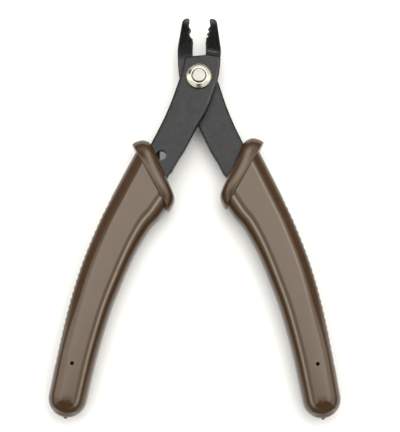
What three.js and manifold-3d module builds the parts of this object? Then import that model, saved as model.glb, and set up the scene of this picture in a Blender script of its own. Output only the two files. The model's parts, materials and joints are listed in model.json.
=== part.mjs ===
// Crimping pliers: two stamped steel levers in a lap joint, a headed pivot pin between two domed
// washers, and a moulded grip on each tang. Millimetres, +Z up, lying flat, jaws towards +Y.
//
// Every piece is drawn in the shut frame: pivot axis on Z through 0,0, the plane between the two
// levers at z = 0, and the jaws meeting on the plane x = 0. The front half is drawn once. The rear
// half is the same stamping turned half a turn about Y, with its own crimping notches.
import * as THREE from "three";
import { mergeVertices } from "three/addons/utils/BufferGeometryUtils.js";
import Module from "manifold-3d";

const wasm = await Module();
wasm.setup();

// Driving dimensions
const HALF_OPEN = THREE.MathUtils.degToRad(9.3); // each lever's turn from shut to wide open
const PLATE = 3.0; // thickness of the steel
const LAP_GAP = 0.1; // running gap between the two levers
const JAW_GAP = 0.05; // from the meeting plane to each jaw face
const JAW_TIP_Y = 19.6;
const JAW_HALF_BASE = 1.55; // half the jaw's thickness at its root
const JAW_HALF_TIP = 1.15;
const STEP_BACK_Y = 7.1; // where the jaw starts to leave the plate, on the lap side
const STEP_FRONT_Y = 7.2; // the same on the outer side
const STEP_FRONT_RUN = 1.4; // length of the joggle along the jaw, on the outer side
const STEP_BACK_RUN = 3.6; // the same on the lap side, where it is gentler
const PIN_R = 1.9;
const PIN_CLEARANCE = 0.08;
const PIN_HEAD_R = 2.25;
const PIN_HEAD_H = 0.6;
const WASHER_R = 4.0;
const WASHER_EDGE_H = 0.6;
const WASHER_H = 1.35;
const SEAT_GAP = 0.05; // between parts that rest on each other
const HOOK_HOLE_R = 1.55; // spring hook hole in the front lever
const LEVER_LEAN = THREE.MathUtils.degToRad(18.9); // shank's lean from -Y towards -X
const GRIP_HALF_T = 5.4; // half the grip's thickness at its flat panels
const GUARD_HALF_T = 6.4; // half the thumb guard's thickness
const GUARD_H = 4.7; // height of its dome above its rim
const RIGHT_GRIP_SEAT = 0.7; // the right grip sits this much further up its tang
const POCKET_GAP = 0.3; // around the tang inside the grip
const SIGHT_HOLE_R = 0.55; // locating-pin hole near the grip's end
const RIB_PITCH = 2.0; // ribs on the grip's outer edge
const RIB_DEPTH = 0.3;
const ROUND_SIDES = 40;
const CUT_REACH = 8; // how far cutting shapes run past the lap plane

const faceZ = LAP_GAP / 2; // lap face of the front lever
const outerZ = faceZ + PLATE; // its outer face

const steel = new THREE.MeshStandardMaterial({ color: 0x39393b, roughness: 0.5, metalness: 0.7 });
const nickel = new THREE.MeshStandardMaterial({ color: 0xd9d2bd, roughness: 0.2, metalness: 1 });
const brown = new THREE.MeshStandardMaterial({ color: 0x5b4434, roughness: 0.35, metalness: 0 });

// ---- helpers -------------------------------------------------------------------------------

const v2 = (x, y) => new THREE.Vector2(x, y);

// A three.js geometry as a manifold-3d solid.
function solid(geometry) {
  const bare = geometry.index ? geometry.toNonIndexed() : geometry.clone();
  bare.deleteAttribute("normal");
  bare.deleteAttribute("uv");
  const merged = mergeVertices(bare, 1e-4);
  return new wasm.Manifold(
    new wasm.Mesh({
      numProp: 3,
      vertProperties: merged.attributes.position.array,
      triVerts: new Uint32Array(merged.index.array),
    }),
  );
}

// A solid as a named three.js mesh.
function piece(name, made, material) {
  const m = made.getMesh();
  const geometry = new THREE.BufferGeometry();
  geometry.setAttribute("position", new THREE.BufferAttribute(new Float32Array(m.vertProperties), 3));
  geometry.setIndex(new THREE.BufferAttribute(m.triVerts, 1));
  geometry.computeVertexNormals();
  const mesh = new THREE.Mesh(geometry, material);
  mesh.name = name;
  return mesh;
}

// Points on a smooth curve through a few points.
function through(points, count) {
  return new THREE.SplineCurve(points).getPoints(count);
}

// A closed outline raised from z0 to z1, moved sideways by a shift.
function slab(outline, z0, z1, shift = v2(0, 0)) {
  const geometry = new THREE.ExtrudeGeometry(new THREE.Shape(outline), {
    depth: z1 - z0,
    bevelEnabled: false,
  });
  geometry.translate(shift.x, shift.y, z0);
  return solid(geometry);
}

// A round bar along Z, as long above the lap plane as below it.
function rod(radius, reach, at = v2(0, 0)) {
  const geometry = new THREE.CylinderGeometry(radius, radius, 2 * reach, ROUND_SIDES);
  geometry.rotateX(Math.PI / 2);
  geometry.translate(at.x, at.y, 0);
  return solid(geometry);
}

// A profile of (radius, z) points turned about the pivot axis.
function turned(profile) {
  const geometry = new THREE.LatheGeometry(profile, ROUND_SIDES);
  geometry.rotateX(Math.PI / 2);
  return solid(geometry);
}

// ---- lever ---------------------------------------------------------------------------------

// Crimping station in a jaw face: a round hollow between two cusps, as points from top to bottom.
function hollow(top, bottom, depth) {
  const half = (top - bottom) / 2;
  const radius = (half * half + depth * depth) / (2 * depth);
  const reach = Math.asin(half / radius);
  const steps = 8;
  const points = [];
  for (let i = 0; i <= steps; i++) {
    const a = reach * (1 - (2 * i) / steps);
    const x = JAW_GAP + depth - radius * (1 - Math.cos(a));
    points.push(v2(x, (top + bottom) / 2 + radius * Math.sin(a)));
  }
  return points;
}

// Both jaws have a round front station. Behind it one jaw has a plain hollow, and the other a pair
// of small hollows with a tooth between them, which folds a crimp bead into two channels.
const frontStation = hollow(18.4, 15.9, 0.5);
const plainStation = hollow(15.9, 12.7, 0.72);
const toothedStation = [...hollow(15.9, 14.4, 0.46), ...hollow(14.4, 12.9, 0.46)];

const shankInner = [
  v2(5.95, 3.2),
  v2(5.9, 0.8),
  v2(5.46, -2.8),
  v2(4.15, -9.9),
  v2(2.31, -15.0),
  v2(-0.17, -23.1),
  v2(-2.6, -29.6),
];
const shankOuter = [
  v2(-5.35, 4.0),
  v2(-5.55, -0.4),
  v2(-6.3, -5.0),
  v2(-7.4, -10.8),
  v2(-8.7, -16.4),
  v2(-10.6, -23.0),
];

// The tang narrows inside the guard, then follows the grip's curve.
const tangLine = new THREE.SplineCurve([
  v2(-8.6, -32.6),
  v2(-14.9, -52),
  v2(-18.9, -70),
  v2(-21.0, -86),
  v2(-21.5, -98),
]);
const TANG_HALF_W = 3.9;
const TANG_END_HALF_W = 2.4;

// Points down one side of the tang, from the guard to its end.
function tangSide(side) {
  const steps = 12;
  const points = [];
  for (let i = 0; i <= steps; i++) {
    const t = i / steps;
    const along = tangLine.getTangent(t);
    const half = THREE.MathUtils.lerp(TANG_HALF_W, TANG_END_HALF_W, t);
    points.push(tangLine.getPoint(t).add(v2(-along.y, along.x).multiplyScalar(side * half)));
  }
  return points;
}

// The plate: shoulder, round the pivot, shank and tang.
function plateOutline() {
  return [
    v2(5.75, 6.0),
    v2(5.6, STEP_FRONT_Y),
    v2(0.8, STEP_FRONT_Y),
    v2(-4.6, 5.7),
    v2(-5.15, 5.35),
    v2(-5.35, 4.75),
    ...through(shankOuter, 14),
    v2(-11.6, -26.5),
    ...tangSide(-1),
    ...tangSide(1).reverse(),
    v2(-3.6, -31.6),
    ...through(shankInner, 12).reverse(),
  ];
}

// The jaw from its root to its tip, with the notches in its face.
function jawOutline(rearStation) {
  return [
    v2(5.75, 6.0),
    v2(5.5, 7.9),
    v2(5.15, 9.7),
    v2(2.62, 18.45),
    v2(2.3, 19.1),
    v2(1.6, 19.55),
    v2(0.5, JAW_TIP_Y),
    v2(0.15, 19.45),
    v2(JAW_GAP, 19.1),
    ...frontStation,
    ...rearStation,
    v2(JAW_GAP, 11.2),
    v2(0.3, 10.6),
    v2(0.58, 9.0),
    v2(0.76, 7.6),
    v2(0.9, 6.0),
  ];
}

// Side view of the jaw: it leaves the plate by a joggle and tapers about the lap plane.
function jawSide() {
  const back = (run, z) => v2(STEP_BACK_Y + run * STEP_BACK_RUN, z);
  const front = (run, z) => v2(STEP_FRONT_Y + run * STEP_FRONT_RUN, z);
  const drop = outerZ - JAW_HALF_BASE;
  return [
    v2(5, faceZ),
    back(0, faceZ),
    back(0.18, faceZ - 0.4),
    back(0.55, -1.2),
    back(0.9, -JAW_HALF_BASE),
    v2(JAW_TIP_Y - 0.6, -JAW_HALF_TIP),
    v2(JAW_TIP_Y + 0.5, -JAW_HALF_TIP + 0.9),
    v2(JAW_TIP_Y + 0.5, JAW_HALF_TIP - 0.9),
    v2(JAW_TIP_Y - 0.6, JAW_HALF_TIP),
    front(1.1, JAW_HALF_BASE),
    front(0.75, outerZ - 0.86 * drop),
    front(0.25, outerZ - 0.3 * drop),
    front(0, outerZ),
    v2(5, outerZ),
  ];
}

// The side view drawn across X, so that it can be intersected with the plan view.
function acrossX(outline, x0, x1) {
  const geometry = new THREE.ExtrudeGeometry(new THREE.Shape(outline), {
    depth: x1 - x0,
    bevelEnabled: false,
  });
  geometry.applyMatrix4(new THREE.Matrix4().set(0, 0, 1, x0, 1, 0, 0, 0, 0, 1, 0, 0, 0, 0, 0, 1));
  return solid(geometry);
}

// Wedge along the jaw's outer edge that bevels it. side is 1 for the front face, -1 for the back.
const bevelRoot = v2(5.15, 9.2);
const bevelTip = v2(2.3, 19.8);
const BEVEL = 1.0; // how far it cuts in over the face and down the edge
function jawBevel(side) {
  const edge = bevelTip.clone().sub(bevelRoot);
  const outward = v2(edge.y, -edge.x).normalize();
  const corners = [];
  for (const p of [bevelRoot, bevelTip]) {
    const half = THREE.MathUtils.mapLinear(p.y, bevelRoot.y, bevelTip.y, JAW_HALF_BASE, JAW_HALF_TIP);
    const corner = (out, z) => [p.x + outward.x * out, p.y + outward.y * out, side * z];
    const onFace = corner(-BEVEL, half);
    const onEdge = corner(0.3 * BEVEL, half - BEVEL);
    const clear = corner(2 * BEVEL, half + BEVEL);
    corners.push(onFace, onEdge, clear);
  }
  const [a, b, c, d, e, f] = corners;
  const faces = [a, b, c, d, f, e, a, d, e, a, e, b, b, e, f, b, f, c, c, f, d, c, d, a];
  const wound = side > 0 ? faces : faces.reverse();
  const geometry = new THREE.BufferGeometry();
  geometry.setAttribute("position", new THREE.Float32BufferAttribute(wound.flat(), 3));
  return solid(geometry);
}

const hookHole = v2(-7.04, -26.33);

function lever(rearStation, hasHookHole) {
  const jawPlan = slab(jawOutline(rearStation), -CUT_REACH, CUT_REACH);
  const jaw = jawPlan.intersect(acrossX(jawSide(), 0, CUT_REACH));
  let made = slab(plateOutline(), faceZ, outerZ).add(jaw);
  made = made.subtract(jawBevel(1)).subtract(jawBevel(-1));
  made = made.subtract(rod(PIN_R + PIN_CLEARANCE, CUT_REACH));
  return hasHookHole ? made.subtract(rod(HOOK_HOLE_R, CUT_REACH, hookHole)) : made;
}

// ---- grip ----------------------------------------------------------------------------------

// Closed solid skinned over a row of rings with equal numbers of points, its ends closed by fans.
function skinned(rings) {
  const count = rings[0].length;
  const positions = [];
  const triangle = (a, b, c) => positions.push(...a.toArray(), ...b.toArray(), ...c.toArray());
  const fan = (ring, forward) => {
    const middle = new THREE.Vector3();
    for (const p of ring) middle.addScaledVector(p, 1 / count);
    for (let i = 0; i < count; i++) {
      const ends = [ring[i], ring[(i + 1) % count]];
      triangle(middle, ...(forward ? ends : ends.reverse()));
    }
  };
  for (let k = 0; k + 1 < rings.length; k++) {
    for (let i = 0; i < count; i++) {
      const j = (i + 1) % count;
      triangle(rings[k][i], rings[k][j], rings[k + 1][j]);
      triangle(rings[k][i], rings[k + 1][j], rings[k + 1][i]);
    }
  }
  fan(rings[0], false);
  fan(rings[rings.length - 1], true);
  const geometry = new THREE.BufferGeometry();
  geometry.setAttribute("position", new THREE.Float32BufferAttribute(positions, 3));
  return solid(geometry);
}

// The grip's two edges seen from above, from the guard to where the round nose begins.
const outerEdge = new THREE.SplineCurve([
  v2(-15.1, -26.2),
  v2(-17.6, -34.0),
  v2(-20.1, -42.0),
  v2(-22.4, -50.0),
  v2(-25.1, -63.0),
  v2(-26.6, -76.0),
  v2(-27.2, -90.0),
  v2(-27.4, -103.8),
]);
const innerEdge = new THREE.SplineCurve([
  v2(-3.0, -43.2),
  v2(-4.6, -46.0),
  v2(-6.9, -50.0),
  v2(-9.75, -58.0),
  v2(-12.15, -68.0),
  v2(-13.85, -77.0),
  v2(-15.25, -90.0),
  v2(-15.95, -103.8),
]);
const NOSE_LENGTH = 5.73;
const NOSE_FALL = 0.62; // share of its height that the grip loses by the nose's end

// Half sections of the grip: distance in from its edge, and height. Each side rises in a round
// wall and a slope to the raised flat panel on the face. The inner one has a bead on the way.
const outerSection = [
  v2(0.0, 0.5),
  v2(0.2, 1.8),
  v2(0.8, 2.9),
  v2(2.3, 4.4),
  v2(3.2, 5.12),
  v2(4.1, GRIP_HALF_T),
];
const innerSection = [
  v2(0.0, 0.5),
  v2(0.16, 2.1),
  v2(0.75, 3.5),
  v2(1.6, 4.36),
  v2(2.6, 4.88),
  v2(3.3, 4.94),
  v2(4.5, GRIP_HALF_T),
];
const SECTION_ROOM = 11.3; // width below which the sections are squeezed together

// One ring of the grip between two edge points. Its height falls away on the nose.
function gripRing(outer, inner, height) {
  const width = outer.distanceTo(inner);
  const scale = Math.min(1, width / SECTION_ROOM);
  const at = (set, z) => {
    const p = outer.clone().lerp(inner, set / width);
    return new THREE.Vector3(p.x, p.y, z * height);
  };
  const down = outerSection.map((p) => at(p.x * scale, -p.y));
  const back = innerSection.map((p) => at(width - p.x * scale, -p.y)).reverse();
  const up = innerSection.map((p) => at(width - p.x * scale, p.y));
  const over = outerSection.map((p) => at(p.x * scale, p.y)).reverse();
  return [...down, ...back, ...up, ...over];
}

function gripBody() {
  const rings = [];
  const steps = 22;
  for (let i = 0; i <= steps; i++) {
    rings.push(gripRing(outerEdge.getPointAt(i / steps), innerEdge.getPointAt(i / steps), 1));
  }
  const outer = outerEdge.getPoint(1);
  const inner = innerEdge.getPoint(1);
  const middle = outer.clone().lerp(inner, 0.5);
  const noseSteps = 7;
  for (let i = 1; i < noseSteps; i++) {
    const a = ((Math.PI / 2) * i) / noseSteps;
    const drop = v2(0, -NOSE_LENGTH * Math.sin(a));
    const end = (p) => middle.clone().lerp(p, Math.cos(a)).add(drop);
    rings.push(gripRing(end(outer), end(inner), 1 - NOSE_FALL * Math.sin(a) ** 4));
  }
  return skinned(rings);
}

// Thumb guard: a rounded block set aslant across the top of the grip. Each level holds its height,
// the reach of its outer and inner ends, and its half thickness. It gets lower towards its inner end.
const guardCentre = v2(-9.0, -33.6);
const guardUp = v2(0.7875, 0.617);
const GUARD_SLOPE = 0.055;
const GUARD_HIGH_END = -9.4;
const GUARD_END_POWER = 0.9; // 1 for an ellipse, less for a squarer oval
const GUARD_FACE_POWER = 0.8;
const guardLevels = [
  [-1.3, 10.4, 9.8, 0.85],
  [-0.9, 11.6, 10.9, 0.89],
  [-0.2, 12.1, 11.5, 0.93],
  [0.7, 12.3, 11.5, 0.98],
  [1.6, 12.2, 11.1, 1.0],
  [2.8, 11.9, 10.4, 0.97],
  [3.8, 11.1, 9.5, 0.87],
  [4.4, 10.0, 8.2, 0.68],
  [GUARD_H, 8.0, 6.0, 0.42],
];
function guard() {
  const along = v2(guardUp.y, -guardUp.x);
  const sides = 32;
  const squared = (value, power) => Math.sign(value) * Math.abs(value) ** power;
  const rings = guardLevels.map(([height, outer, inner, thick]) => {
    const ring = [];
    for (let i = 0; i < sides; i++) {
      const a = (-2 * Math.PI * i) / sides;
      const reach = squared(Math.cos(a), GUARD_END_POWER) * (Math.cos(a) < 0 ? outer : inner);
      const drop = (GUARD_SLOPE * Math.max(height, 0) * (reach - GUARD_HIGH_END)) / GUARD_H;
      const p = guardCentre.clone().addScaledVector(guardUp, height - drop);
      p.addScaledVector(along, reach);
      const z = GUARD_HALF_T * thick * squared(Math.sin(a), GUARD_FACE_POWER);
      ring.push(new THREE.Vector3(p.x, p.y, z));
    }
    return ring;
  });
  return skinned(rings);
}

// Grooves between the ribs along the grip's outer edge.
function ribGrooves() {
  const radius = 0.47;
  const halfHeight = 1.5;
  const first = 16.3;
  const length = outerEdge.getLength();
  const last = length - 8;
  const grooves = [];
  for (let s = first; s < last; s += RIB_PITCH) {
    const at = outerEdge.getPointAt(s / length);
    grooves.push(rod(radius, halfHeight, v2(at.x - radius + RIB_DEPTH, at.y)));
  }
  return wasm.Manifold.union(grooves);
}

// Room for the tang inside the grip: the plate swept round a small circle.
function pocket(shift) {
  const directions = 8;
  const copies = [];
  for (let i = 0; i < directions; i++) {
    const a = (2 * Math.PI * i) / directions;
    const moved = v2(Math.cos(a), Math.sin(a)).multiplyScalar(POCKET_GAP).add(shift);
    copies.push(slab(plateOutline(), faceZ - POCKET_GAP, outerZ + POCKET_GAP, moved));
  }
  return wasm.Manifold.union(copies);
}

const sightHole = v2(-21.85, -93.5);

// The grip, pushed up its tang by its seat.
function grip(name, seat) {
  const slide = v2(Math.sin(LEVER_LEAN), Math.cos(LEVER_LEAN)).multiplyScalar(seat);
  let made = gripBody().add(guard()).subtract(ribGrooves());
  made = made.subtract(pocket(slide.clone().negate()));
  made = made.subtract(rod(SIGHT_HOLE_R, CUT_REACH, sightHole));
  const mesh = piece(name, made, brown);
  mesh.position.set(slide.x, slide.y, 0);
  return mesh;
}

// ---- pivot ---------------------------------------------------------------------------------

const washerZ = outerZ + SEAT_GAP;
const headZ = washerZ + WASHER_H + SEAT_GAP;

function domeWasher() {
  const hole = PIN_R + PIN_CLEARANCE;
  const crown = hole + 0.35; // where the dome levels off
  const arc = [];
  const steps = 6;
  for (let i = 0; i <= steps; i++) {
    const a = ((Math.PI / 2) * i) / steps;
    const r = crown + (WASHER_R - crown) * Math.cos(a);
    arc.push(v2(r, washerZ + WASHER_EDGE_H + (WASHER_H - WASHER_EDGE_H) * Math.sin(a)));
  }
  const top = v2(hole, washerZ + WASHER_H);
  const bottom = v2(hole, washerZ);
  return turned([bottom, v2(WASHER_R - 0.1, washerZ), ...arc, top, bottom.clone()]);
}

function pivotPin() {
  const top = headZ + PIN_HEAD_H;
  const head = [
    v2(PIN_R, headZ),
    v2(PIN_HEAD_R, headZ),
    v2(PIN_HEAD_R, headZ + 0.25),
    v2(PIN_HEAD_R - 0.2, top - 0.1),
    v2(PIN_HEAD_R - 0.7, top),
    v2(0, top),
  ];
  const lower = head.map((p) => v2(p.x, -p.y)).reverse();
  return turned([...lower, ...head]);
}

// ---- assembly ------------------------------------------------------------------------------

const frontHalf = new THREE.Group();
frontHalf.add(
  piece("front_lever", lever(toothedStation, true), steel),
  grip("left_grip", 0),
  piece("front_dome_washer", domeWasher(), nickel),
  piece("pivot_pin", pivotPin(), nickel),
);
frontHalf.rotation.z = -HALF_OPEN;

const turnedOver = new THREE.Group();
turnedOver.add(
  piece("rear_lever", lever(plainStation, false), steel),
  grip("right_grip", RIGHT_GRIP_SEAT),
  piece("rear_dome_washer", domeWasher(), nickel),
);
turnedOver.rotation.y = Math.PI;

const rearHalf = new THREE.Group();
rearHalf.add(turnedOver);
rearHalf.rotation.z = HALF_OPEN;

// The origin is the middle of the object's footprint, on the surface it lies on.
const pliers = new THREE.Group();
pliers.add(frontHalf, rearHalf);
const box = new THREE.Box3().setFromObject(pliers, true);
const centre = box.getCenter(new THREE.Vector3());
const shift = new THREE.Vector3(-centre.x, -centre.y, -box.min.z);
frontHalf.position.copy(shift);
rearHalf.position.copy(shift);

export default pliers;
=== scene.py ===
import json
import math
from collections import namedtuple

import bpy
import numpy as np
from mathutils import Matrix, Vector
from mathutils.geometry import delaunay_2d_cdt


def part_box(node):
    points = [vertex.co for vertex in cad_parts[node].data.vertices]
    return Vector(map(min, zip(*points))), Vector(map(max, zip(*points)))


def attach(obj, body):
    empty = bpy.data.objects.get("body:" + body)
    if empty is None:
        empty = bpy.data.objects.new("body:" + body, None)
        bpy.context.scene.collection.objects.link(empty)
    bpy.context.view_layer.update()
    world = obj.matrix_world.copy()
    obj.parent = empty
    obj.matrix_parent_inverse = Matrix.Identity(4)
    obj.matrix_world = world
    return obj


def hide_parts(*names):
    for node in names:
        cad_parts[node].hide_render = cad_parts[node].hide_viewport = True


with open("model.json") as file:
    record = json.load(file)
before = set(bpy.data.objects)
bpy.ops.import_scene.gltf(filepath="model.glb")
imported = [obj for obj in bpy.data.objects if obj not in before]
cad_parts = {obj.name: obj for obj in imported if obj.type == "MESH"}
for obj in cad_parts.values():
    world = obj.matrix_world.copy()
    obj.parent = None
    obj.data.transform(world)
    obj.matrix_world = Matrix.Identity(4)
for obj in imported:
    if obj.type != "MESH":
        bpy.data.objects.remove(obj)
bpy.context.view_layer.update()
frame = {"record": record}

MM = 0.001

# ---- sizes read from the frame --------------------------------------------------------------

pin_low, pin_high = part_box("pivot_pin")
PIVOT = (pin_low + pin_high) / 2
HINGE = frame["record"]["behaviour"]["joints"][0]
HALF_OPEN = math.radians(-HINGE["range_deg"][0] / 2)
HEAD_R = (pin_high.x - pin_low.x) / 2 / MM
HEAD_TOP = (pin_high.z - PIVOT.z) / MM
washer_low, washer_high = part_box("front_dome_washer")
WASHER_R = (washer_high.x - washer_low.x) / 2 / MM
WASHER_BASE = (washer_low.z - PIVOT.z) / MM
WASHER_TOP = (washer_high.z - PIVOT.z) / MM
grip_low, grip_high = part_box("left_grip")
GUARD_HALF_T = (grip_high.z - grip_low.z) / 2 / MM
PLATE_TOP = (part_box("front_lever")[1].z - PIVOT.z) / MM

LAP_GAP = 0.1
LAP_Z = LAP_GAP / 2
# The grips' flat panels lie this far in from the guards' faces.
GUARD_STANDS_OUT = 1.0
PANEL_Z = GUARD_HALF_T - GUARD_STANDS_OUT
# The shanks lean this far from Y, and the grips are pushed on in that direction.
LEVER_LEAN = math.radians(18.9)

# How each grip differs: the half that it sits on, how much further up its tang it sits, how far its
# guard lies outward, and how strong a highlight is painted on its panel's outer edge, from 0 to 1.
Grip = namedtuple("Grip", "side half seat guard_outward edge_rub")
GRIPS = (Grip("left", "front", 0, 0, 0), Grip("right", "rear", 0.7, 0.5, 1))

# How each jaw differs: its notches as (top, bottom, depth) from the heel up, the rounding of its
# meeting face, where going up the lever its colour turns black, and how strong a highlight is
# painted on its step's ridge.
Jaw = namedtuple("Jaw", "notches face_round black_over ridge_wear")
TOOTHED_JAW = Jaw([(14.5, 13.1, 0.46), (16.1, 14.5, 0.46), (18.5, 16.1, 0.5)], 0.34, (9.1, 10.0), 0.7)
PLAIN_JAW = Jaw([(15.7, 12.6, 0.7), (18.4, 15.7, 0.5)], 0.22, (8.2, 12.0), 0)

# ---- helpers --------------------------------------------------------------------------------

CURVE_STEPS = 24
# Edges where the surface turns by more than this are shown sharp.
SHARP_TURN = math.radians(46)


def placed(half):
    """From the shut frame in millimetres to the row frame in metres, at rest."""
    front = half == "front"
    turn = Matrix.Rotation(-HALF_OPEN if front else HALF_OPEN, 4, "Z")
    flip = Matrix.Identity(4) if front else Matrix.Rotation(math.pi, 4, "Y")
    return Matrix.Translation(PIVOT) @ turn @ flip @ Matrix.Scale(MM, 4)


def travel(line):
    """How far along a line each of its points is."""
    return np.r_[0, np.cumsum(np.linalg.norm(np.diff(line, axis=0), axis=1))]


def read_off(at, known, line):
    """The line's points where a measure known along it has the given values."""
    return np.stack([np.interp(at, known, column) for column in line.T], axis=1)


def evenly(line, spacing):
    """The line again, with points about this far apart."""
    line = np.asarray(line, float)
    travelled = travel(line)
    count = max(2, round(travelled[-1] / spacing) + 1)
    return read_off(np.linspace(0, travelled[-1], count), travelled, line)


def curve(points, spacing=0.25):
    """Evenly spaced points on a smooth curve through the given ones."""
    p = np.asarray(points, float)
    q = np.vstack([2 * p[0] - p[1], p, 2 * p[-1] - p[-2]])
    t = np.linspace(0, 1, CURVE_STEPS, endpoint=False)[:, None]
    runs = []
    for a, b, c, d in zip(q, q[1:], q[2:], q[3:]):
        cubic = (3 * b - a - 3 * c + d) * t**3
        runs.append(0.5 * (2 * b + (c - a) * t + (2 * a - 5 * b + 4 * c - d) * t**2 + cubic))
    return evenly(np.vstack([*runs, p[-1:]]), spacing)


def circle(x, y, radius, count):
    angles = np.linspace(0, 2 * math.pi, count, endpoint=False)
    return np.stack([x + radius * np.cos(angles), y + radius * np.sin(angles)], axis=1)


def smoothstep(low, high, value):
    """0 at low, 1 at high, with an easy start and end."""
    t = np.clip((value - low) / (high - low), 0, 1)
    return t * t * (3 - 2 * t)


def near(value, middle, core, edge):
    """1 within core of the middle, easing to 0 at edge."""
    return 1 - smoothstep(core, edge, np.abs(value - middle))


def lattice(rows, columns, closed_rows=False, closed_columns=False):
    """Four-sided faces over points that stand in rows, one row after another."""
    faces = []
    for i in range(rows if closed_rows else rows - 1):
        here, following = i * columns, (i + 1) % rows * columns
        for k in range(columns if closed_columns else columns - 1):
            beside = (k + 1) % columns
            faces.append([here + k, here + beside, following + beside, following + k])
    return faces


def make_mesh(name, points, faces, half, material, body, replaces, marks=None):
    """A shown piece from points in the shut frame, with its faces turned outward.

    marks are named numbers, one for each point.
    """
    mesh = bpy.data.meshes.new(name)
    mesh.from_pydata([tuple(p) for p in points], [], [tuple(f) for f in faces])
    for mark_name, values in (marks or {}).items():
        layer = mesh.attributes.new(mark_name, "FLOAT", "POINT")
        layer.data.foreach_set("value", np.asarray(values, np.float32))
    mesh.transform(placed(half))
    mesh.validate()
    piece = bpy.data.objects.new(name, mesh)
    bpy.context.collection.objects.link(piece)
    bpy.context.view_layer.objects.active = piece
    bpy.ops.object.select_all(action="DESELECT")
    piece.select_set(True)
    bpy.ops.object.mode_set(mode="EDIT")
    bpy.ops.mesh.select_all(action="SELECT")
    bpy.ops.mesh.normals_make_consistent(inside=False)
    bpy.ops.object.mode_set(mode="OBJECT")
    for polygon in mesh.polygons:
        polygon.use_smooth = True
    mesh.set_sharp_from_angle(angle=SHARP_TURN)
    mesh.materials.append(material)
    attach(piece, body)
    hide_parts(*replaces)


def inside(points, loop):
    """Which points lie inside a closed loop."""
    x, y = np.asarray(points, float).T
    result = np.zeros(len(x), bool)
    for (x0, y0), (x1, y1) in zip(loop, np.roll(loop, -1, axis=0)):
        if y0 != y1:
            result ^= ((y0 > y) != (y1 > y)) & (x < (x1 - x0) * (y - y0) / (y1 - y0) + x0)
    return result


def nearest(points, loop, values):
    """Distance from each point to a closed loop, and the loop's value where it is nearest."""
    ends = np.roll(loop, -1, axis=0)
    later = np.roll(values, -1)
    best = np.full(len(points), np.inf)
    found = np.zeros(len(points))
    for a, b, value_a, value_b in zip(loop, ends, values, later):
        along = b - a
        t = np.clip(((points - a) @ along) / (along @ along), 0, 1)
        gap = np.linalg.norm(points - a - t[:, None] * along, axis=1)
        closer = gap < best
        best[closer] = gap[closer]
        found[closer] = (value_a + (value_b - value_a) * t)[closer]
    return best, found


def triangulated(points, loops):
    """Triangles over a loop with holes. The first loop is the outline. Loops are index lists."""
    whole_area, tolerance = 0, 1e-6
    edges = [(a, b) for loop in loops for a, b in zip(loop, loop[1:] + loop[:1])]
    vectors = [Vector((x, y)) for x, y in points]
    made, _, faces, *_ = delaunay_2d_cdt(vectors, edges, [], whole_area, tolerance)
    corners = np.array([tuple(v) for v in made])
    middles = np.array([corners[list(f)].mean(axis=0) for f in faces])
    keep = inside(middles, points[loops[0]])
    for loop in loops[1:]:
        keep &= ~inside(middles, points[loop])
    return corners, [list(f) for f, wanted in zip(faces, keep) if wanted]


# ---- lever outline --------------------------------------------------------------------------

JAW_FACE = 0.06
JAW_TIP_Y = 19.6
NOTCH_POINTS = 15
# How far the stamping's edges are rounded over. JAW_EXTRA_ROUND is added on the jaws' outer edges,
# and comes in over these bands of Y and X.
EDGE_ROUND = 0.42
SHELF_ROUND = 0.3
TIP_ROUND = 0.5
HOLE_ROUND = 0.15
JAW_EXTRA_ROUND = 0.45
ROUNDER_OVER_Y = (7.5, 10.5)
ROUNDER_OVER_X = (1.2, 2.0)
# Spacing of the outline's points along its straight, small and smallest stretches.
STRAIGHT_SPACING = 0.5
SMALL_SPACING = 0.15
TIP_SPACING = 0.12

# The outline's stretches, in order from the jaw's tip down its outer side and back up.
JAW_SIDE = [(2.58, 18.5), (3.85, 14.5), (5.1, 10.4), (5.45, 8.2), (5.75, 5.6), (5.92, 2.8), (5.85, 0.4)]
SHANK_INNER = [(5.46, -2.8), (4.15, -9.9), (2.31, -15), (-0.17, -23.1), (-1.8, -27.2), (-3.1, -31.1)]
TANG = [(-3.75, -31.9), (-4.2, -34.0), (-8.0, -45.0), (-14.2, -43.0), (-12.4, -29.5)]
SHANK_OUTER = [(-10.8, -23.4), (-8.9, -17), (-7.85, -13), (-7.0, -9), (-6.35, -5), (-5.65, -0.6)]
SHOULDER = [(-5.38, 2.6), (-5.42, 4.5), (-5.3, 5.15), (-4.85, 5.62)]
SHELF = [(-3.08, 6.1), (-1.0, 6.68), (0.78, 7.16)]
RELIEF = [(0.78, 7.28), (0.7, 8.2), (0.54, 9.3), (0.3, 10.6), (0.1, 11.5)]
JAW_TIP = [(0.07, 18.9), (0.2, 19.4), (0.6, JAW_TIP_Y), (1.5, JAW_TIP_Y), (2.25, 19.2), JAW_SIDE[0]]


def notch(top, bottom, depth):
    """A crimping notch in a jaw's face, as points on an arc going up it."""
    half = (top - bottom) / 2
    radius = (half * half + depth * depth) / (2 * depth)
    reach = math.asin(half / radius)
    angles = np.linspace(-reach, reach, NOTCH_POINTS)
    x = JAW_FACE + depth - radius * (1 - np.cos(angles))
    return np.stack([x, (top + bottom) / 2 + radius * np.sin(angles)], axis=1)


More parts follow.
